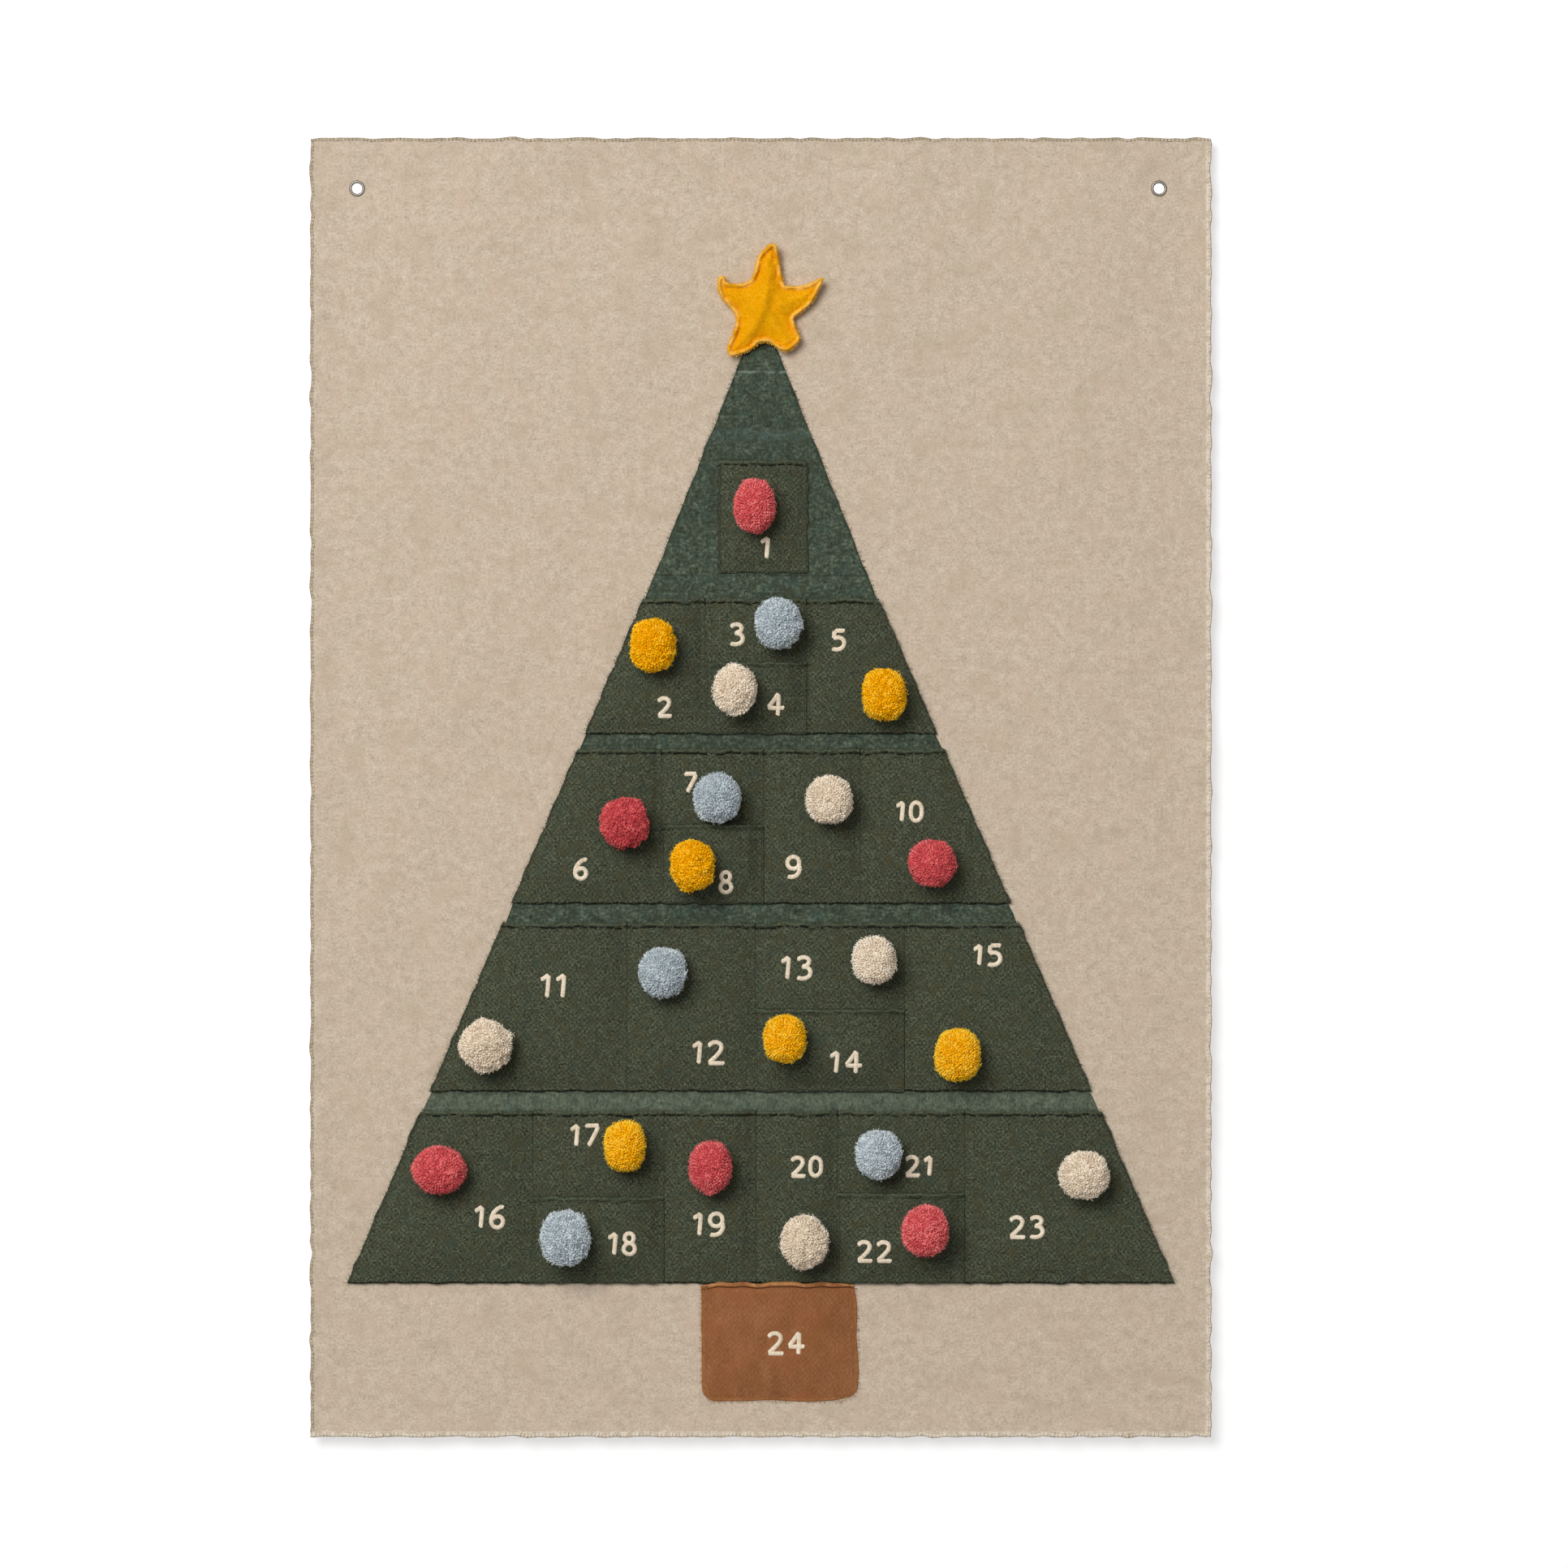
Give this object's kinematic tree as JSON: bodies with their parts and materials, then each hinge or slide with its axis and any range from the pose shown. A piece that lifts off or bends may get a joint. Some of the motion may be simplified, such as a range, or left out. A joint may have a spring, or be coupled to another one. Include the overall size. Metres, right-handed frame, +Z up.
{
  "type": "advent calendar",
  "caption": "Hanging cloth advent calendar: a cream panel with a tree of numbered pockets that open, pull-off pompoms, a padded star, and eyelets to hang it by.",
  "frame": {"origin": "on the wall plane behind the panel, midway across it, level with the two eyelets", "axes": "+X to the right as seen from the front, +Z up, and the front faces -Y, so +Y points into the wall"},
  "size_m": [0.7, 0.054, 1.01],
  "materials": {
    "cream_cloth": "heavy brushed cloth, matt, edges overlocked in cream thread",
    "tree_cloth": "brushed melange cloth, matt, slightly fuzzy",
    "pocket_cloth": "dark twill with a brushed face, matt",
    "trunk_cloth": "brown brushed cloth, matt",
    "star_felt": "padded felt, matt",
    "nickel": "nickel plated, bright",
    "yarn_red": "cut yarn ball",
    "yarn_yellow": "cut yarn ball",
    "yarn_blue": "cut yarn ball",
    "yarn_white": "cut yarn ball"
  },
  "bodies": {
    "root": {"backing_panel": "cream_cloth", "tree_panel": "tree_cloth", "eyelet_left": "nickel", "eyelet_right": "nickel", "eyelet_washer_left": "nickel", "eyelet_washer_right": "nickel", "pocket_03_lower_front": "pocket_cloth", "pocket_07_lower_front": "pocket_cloth", "pocket_13_lower_front": "pocket_cloth", "pocket_17_lower_front": "pocket_cloth", "pocket_21_lower_front": "pocket_cloth"},
    "pocket_01": {"pocket_01_front": "pocket_cloth"},
    "pompom_01": {"pompom_01": "yarn_red"},
    "pocket_02": {"pocket_02_front": "pocket_cloth"},
    "pompom_02": {"pompom_02": "yarn_yellow"},
    "pocket_03": {"pocket_03_front": "pocket_cloth"},
    "pompom_03": {"pompom_03": "yarn_blue"},
    "pocket_04": {"pocket_04_front": "pocket_cloth"},
    "pompom_04": {"pompom_04": "yarn_white"},
    "pocket_05": {"pocket_05_front": "pocket_cloth"},
    "pompom_05": {"pompom_05": "yarn_yellow"},
    "pocket_06": {"pocket_06_front": "pocket_cloth"},
    "pompom_06": {"pompom_06": "yarn_red"},
    "pocket_07": {"pocket_07_front": "pocket_cloth"},
    "pompom_07": {"pompom_07": "yarn_blue"},
    "pocket_08": {"pocket_08_front": "pocket_cloth"},
    "pompom_08": {"pompom_08": "yarn_yellow"},
    "pocket_09": {"pocket_09_front": "pocket_cloth"},
    "pompom_09": {"pompom_09": "yarn_white"},
    "pocket_10": {"pocket_10_front": "pocket_cloth"},
    "pompom_10": {"pompom_10": "yarn_red"},
    "pocket_11": {"pocket_11_front": "pocket_cloth"},
    "pompom_11": {"pompom_11": "yarn_white"},
    "pocket_12": {"pocket_12_front": "pocket_cloth"},
    "pompom_12": {"pompom_12": "yarn_blue"},
    "pocket_13": {"pocket_13_front": "pocket_cloth"},
    "pompom_13": {"pompom_13": "yarn_white"},
    "pocket_14": {"pocket_14_front": "pocket_cloth"},
    "pompom_14": {"pompom_14": "yarn_yellow"},
    "pocket_15": {"pocket_15_front": "pocket_cloth"},
    "pompom_15": {"pompom_15": "yarn_yellow"},
    "pocket_16": {"pocket_16_front": "pocket_cloth"},
    "pompom_16": {"pompom_16": "yarn_red"},
    "pocket_17": {"pocket_17_front": "pocket_cloth"},
    "pompom_17": {"pompom_17": "yarn_yellow"},
    "pocket_18": {"pocket_18_front": "pocket_cloth"},
    "pompom_18": {"pompom_18": "yarn_blue"},
    "pocket_19": {"pocket_19_front": "pocket_cloth"},
    "pompom_19": {"pompom_19": "yarn_red"},
    "pocket_20": {"pocket_20_front": "pocket_cloth"},
    "pompom_20": {"pompom_20": "yarn_white"},
    "pocket_21": {"pocket_21_front": "pocket_cloth"},
    "pompom_21": {"pompom_21": "yarn_blue"},
    "pocket_22": {"pocket_22_front": "pocket_cloth"},
    "pompom_22": {"pompom_22": "yarn_red"},
    "pocket_23": {"pocket_23_front": "pocket_cloth"},
    "pompom_23": {"pompom_23": "yarn_white"},
    "pocket_24": {"pocket_24_front": "trunk_cloth"},
    "star": {"star_back_felt": "star_felt", "star_front_felt": "star_felt"}
  },
  "joints": [
    {"name": "pocket_01_mouth", "type": "hinge", "parent": "root", "child": "pocket_01", "pos_m": [0.00175, -0.0046, -0.2993], "axis": [1, 0, 0], "range_deg": [0, 12], "stiffness_Nm_per_rad": 0.05, "springref_deg": -17.19},
    {"name": "pocket_02_mouth", "type": "hinge", "parent": "root", "child": "pocket_02", "pos_m": [-0.0903, -0.0046, -0.4245], "axis": [1, 0, 0], "range_deg": [0, 9.9], "stiffness_Nm_per_rad": 0.05, "springref_deg": -17.19},
    {"name": "pocket_03_mouth", "type": "hinge", "parent": "root", "child": "pocket_03", "pos_m": [-0.004, -0.0118, -0.3692], "axis": [1, 0, 0], "range_deg": [0, 21.6], "stiffness_Nm_per_rad": 0.05, "springref_deg": -17.19},
    {"name": "pocket_04_mouth", "type": "hinge", "parent": "root", "child": "pocket_04", "pos_m": [-0.004, -0.0061, -0.4245], "axis": [1, 0, 0], "range_deg": [0, 19.1], "stiffness_Nm_per_rad": 0.05, "springref_deg": -17.19},
    {"name": "pocket_05_mouth", "type": "hinge", "parent": "root", "child": "pocket_05", "pos_m": [0.0863, -0.0046, -0.4245], "axis": [1, 0, 0], "range_deg": [0, 9.9], "stiffness_Nm_per_rad": 0.05, "springref_deg": -17.19},
    {"name": "pocket_06_mouth", "type": "hinge", "parent": "root", "child": "pocket_06", "pos_m": [-0.13589, -0.0046, -0.5567], "axis": [1, 0, 0], "range_deg": [0, 8.7], "stiffness_Nm_per_rad": 0.05, "springref_deg": -17.19},
    {"name": "pocket_07_mouth", "type": "hinge", "parent": "root", "child": "pocket_07", "pos_m": [-0.03775, -0.0118, -0.4954], "axis": [1, 0, 0], "range_deg": [0, 18], "stiffness_Nm_per_rad": 0.05, "springref_deg": -17.19},
    {"name": "pocket_08_mouth", "type": "hinge", "parent": "root", "child": "pocket_08", "pos_m": [-0.03775, -0.0061, -0.5567], "axis": [1, 0, 0], "range_deg": [0, 17.2], "stiffness_Nm_per_rad": 0.05, "springref_deg": -17.19},
    {"name": "pocket_09_mouth", "type": "hinge", "parent": "root", "child": "pocket_09", "pos_m": [0.0395, -0.0046, -0.5567], "axis": [1, 0, 0], "range_deg": [0, 8.7], "stiffness_Nm_per_rad": 0.05, "springref_deg": -17.19},
    {"name": "pocket_10_mouth", "type": "hinge", "parent": "root", "child": "pocket_10", "pos_m": [0.13564, -0.0046, -0.5567], "axis": [1, 0, 0], "range_deg": [0, 8.7], "stiffness_Nm_per_rad": 0.05, "springref_deg": -17.19},
    {"name": "pocket_11_mouth", "type": "hinge", "parent": "root", "child": "pocket_11", "pos_m": [-0.18099, -0.0046, -0.7028], "axis": [1, 0, 0], "range_deg": [0, 7.9], "stiffness_Nm_per_rad": 0.05, "springref_deg": -17.19},
    {"name": "pocket_12_mouth", "type": "hinge", "parent": "root", "child": "pocket_12", "pos_m": [-0.0545, -0.0046, -0.7028], "axis": [1, 0, 0], "range_deg": [0, 7.9], "stiffness_Nm_per_rad": 0.05, "springref_deg": -17.19},
    {"name": "pocket_13_mouth", "type": "hinge", "parent": "root", "child": "pocket_13", "pos_m": [0.0535, -0.0118, -0.6392], "axis": [1, 0, 0], "range_deg": [0, 15.7], "stiffness_Nm_per_rad": 0.05, "springref_deg": -17.19},
    {"name": "pocket_14_mouth", "type": "hinge", "parent": "root", "child": "pocket_14", "pos_m": [0.0535, -0.0061, -0.7028], "axis": [1, 0, 0], "range_deg": [0, 16.5], "stiffness_Nm_per_rad": 0.05, "springref_deg": -17.19},
    {"name": "pocket_15_mouth", "type": "hinge", "parent": "root", "child": "pocket_15", "pos_m": [0.18449, -0.0046, -0.7028], "axis": [1, 0, 0], "range_deg": [0, 7.9], "stiffness_Nm_per_rad": 0.05, "springref_deg": -17.19},
    {"name": "pocket_16_mouth", "type": "hinge", "parent": "root", "child": "pocket_16", "pos_m": [-0.24975, -0.0046, -0.852], "axis": [1, 0, 0], "range_deg": [0, 7.9], "stiffness_Nm_per_rad": 0.05, "springref_deg": -17.19},
    {"name": "pocket_17_mouth", "type": "hinge", "parent": "root", "child": "pocket_17", "pos_m": [-0.1265, -0.0118, -0.785], "axis": [1, 0, 0], "range_deg": [0, 16.5], "stiffness_Nm_per_rad": 0.05, "springref_deg": -17.19},
    {"name": "pocket_18_mouth", "type": "hinge", "parent": "root", "child": "pocket_18", "pos_m": [-0.1265, -0.0061, -0.852], "axis": [1, 0, 0], "range_deg": [0, 15.7], "stiffness_Nm_per_rad": 0.05, "springref_deg": -17.19},
    {"name": "pocket_19_mouth", "type": "hinge", "parent": "root", "child": "pocket_19", "pos_m": [-0.03975, -0.0046, -0.852], "axis": [1, 0, 0], "range_deg": [0, 7.9], "stiffness_Nm_per_rad": 0.05, "springref_deg": -17.19},
    {"name": "pocket_20_mouth", "type": "hinge", "parent": "root", "child": "pocket_20", "pos_m": [0.02775, -0.0046, -0.852], "axis": [1, 0, 0], "range_deg": [0, 7.9], "stiffness_Nm_per_rad": 0.05, "springref_deg": -17.19},
    {"name": "pocket_21_mouth", "type": "hinge", "parent": "root", "child": "pocket_21", "pos_m": [0.109, -0.0118, -0.7822], "axis": [1, 0, 0], "range_deg": [0, 17.3], "stiffness_Nm_per_rad": 0.05, "springref_deg": -17.19},
    {"name": "pocket_22_mouth", "type": "hinge", "parent": "root", "child": "pocket_22", "pos_m": [0.109, -0.0061, -0.852], "axis": [1, 0, 0], "range_deg": [0, 15], "stiffness_Nm_per_rad": 0.05, "springref_deg": -17.19},
    {"name": "pocket_23_mouth", "type": "hinge", "parent": "root", "child": "pocket_23", "pos_m": [0.24025, -0.0046, -0.852], "axis": [1, 0, 0], "range_deg": [0, 7.9], "stiffness_Nm_per_rad": 0.05, "springref_deg": -17.19},
    {"name": "pocket_24_mouth", "type": "hinge", "parent": "root", "child": "pocket_24", "pos_m": [0.01455, -0.0028, -0.9435], "axis": [1, 0, 0], "range_deg": [0, 11.5], "stiffness_Nm_per_rad": 0.05, "springref_deg": -17.19},
    {"name": "star_pull", "type": "slide", "parent": "root", "child": "star", "axis": [0, -1, 0], "range_m": [0, 0.06]},
    {"name": "pompom_01_pull", "type": "slide", "parent": "pocket_01", "child": "pompom_01", "axis": [0, -1, 0], "range_m": [0, 0.06]},
    {"name": "pompom_02_pull", "type": "slide", "parent": "pocket_02", "child": "pompom_02", "axis": [0, -1, 0], "range_m": [0, 0.06]},
    {"name": "pompom_03_pull", "type": "slide", "parent": "pocket_03", "child": "pompom_03", "axis": [0, -1, 0], "range_m": [0, 0.06]},
    {"name": "pompom_04_pull", "type": "slide", "parent": "pocket_04", "child": "pompom_04", "axis": [0, -1, 0], "range_m": [0, 0.06]},
    {"name": "pompom_05_pull", "type": "slide", "parent": "pocket_05", "child": "pompom_05", "axis": [0, -1, 0], "range_m": [0, 0.06]},
    {"name": "pompom_06_pull", "type": "slide", "parent": "pocket_06", "child": "pompom_06", "axis": [0, -1, 0], "range_m": [0, 0.06]},
    {"name": "pompom_07_pull", "type": "slide", "parent": "pocket_07", "child": "pompom_07", "axis": [0, -1, 0], "range_m": [0, 0.06]},
    {"name": "pompom_08_pull", "type": "slide", "parent": "pocket_08", "child": "pompom_08", "axis": [0, -1, 0], "range_m": [0, 0.06]},
    {"name": "pompom_09_pull", "type": "slide", "parent": "pocket_09", "child": "pompom_09", "axis": [0, -1, 0], "range_m": [0, 0.06]},
    {"name": "pompom_10_pull", "type": "slide", "parent": "pocket_10", "child": "pompom_10", "axis": [0, -1, 0], "range_m": [0, 0.06]},
    {"name": "pompom_11_pull", "type": "slide", "parent": "pocket_11", "child": "pompom_11", "axis": [0, -1, 0], "range_m": [0, 0.06]},
    {"name": "pompom_12_pull", "type": "slide", "parent": "pocket_12", "child": "pompom_12", "axis": [0, -1, 0], "range_m": [0, 0.06]},
    {"name": "pompom_13_pull", "type": "slide", "parent": "pocket_13", "child": "pompom_13", "axis": [0, -1, 0], "range_m": [0, 0.06]},
    {"name": "pompom_14_pull", "type": "slide", "parent": "pocket_14", "child": "pompom_14", "axis": [0, -1, 0], "range_m": [0, 0.06]},
    {"name": "pompom_15_pull", "type": "slide", "parent": "pocket_15", "child": "pompom_15", "axis": [0, -1, 0], "range_m": [0, 0.06]},
    {"name": "pompom_16_pull", "type": "slide", "parent": "pocket_16", "child": "pompom_16", "axis": [0, -1, 0], "range_m": [0, 0.06]},
    {"name": "pompom_17_pull", "type": "slide", "parent": "pocket_17", "child": "pompom_17", "axis": [0, -1, 0], "range_m": [0, 0.06]},
    {"name": "pompom_18_pull", "type": "slide", "parent": "pocket_18", "child": "pompom_18", "axis": [0, -1, 0], "range_m": [0, 0.06]},
    {"name": "pompom_19_pull", "type": "slide", "parent": "pocket_19", "child": "pompom_19", "axis": [0, -1, 0], "range_m": [0, 0.06]},
    {"name": "pompom_20_pull", "type": "slide", "parent": "pocket_20", "child": "pompom_20", "axis": [0, -1, 0], "range_m": [0, 0.06]},
    {"name": "pompom_21_pull", "type": "slide", "parent": "pocket_21", "child": "pompom_21", "axis": [0, -1, 0], "range_m": [0, 0.06]},
    {"name": "pompom_22_pull", "type": "slide", "parent": "pocket_22", "child": "pompom_22", "axis": [0, -1, 0], "range_m": [0, 0.06]},
    {"name": "pompom_23_pull", "type": "slide", "parent": "pocket_23", "child": "pompom_23", "axis": [0, -1, 0], "range_m": [0, 0.06]}
  ]
}
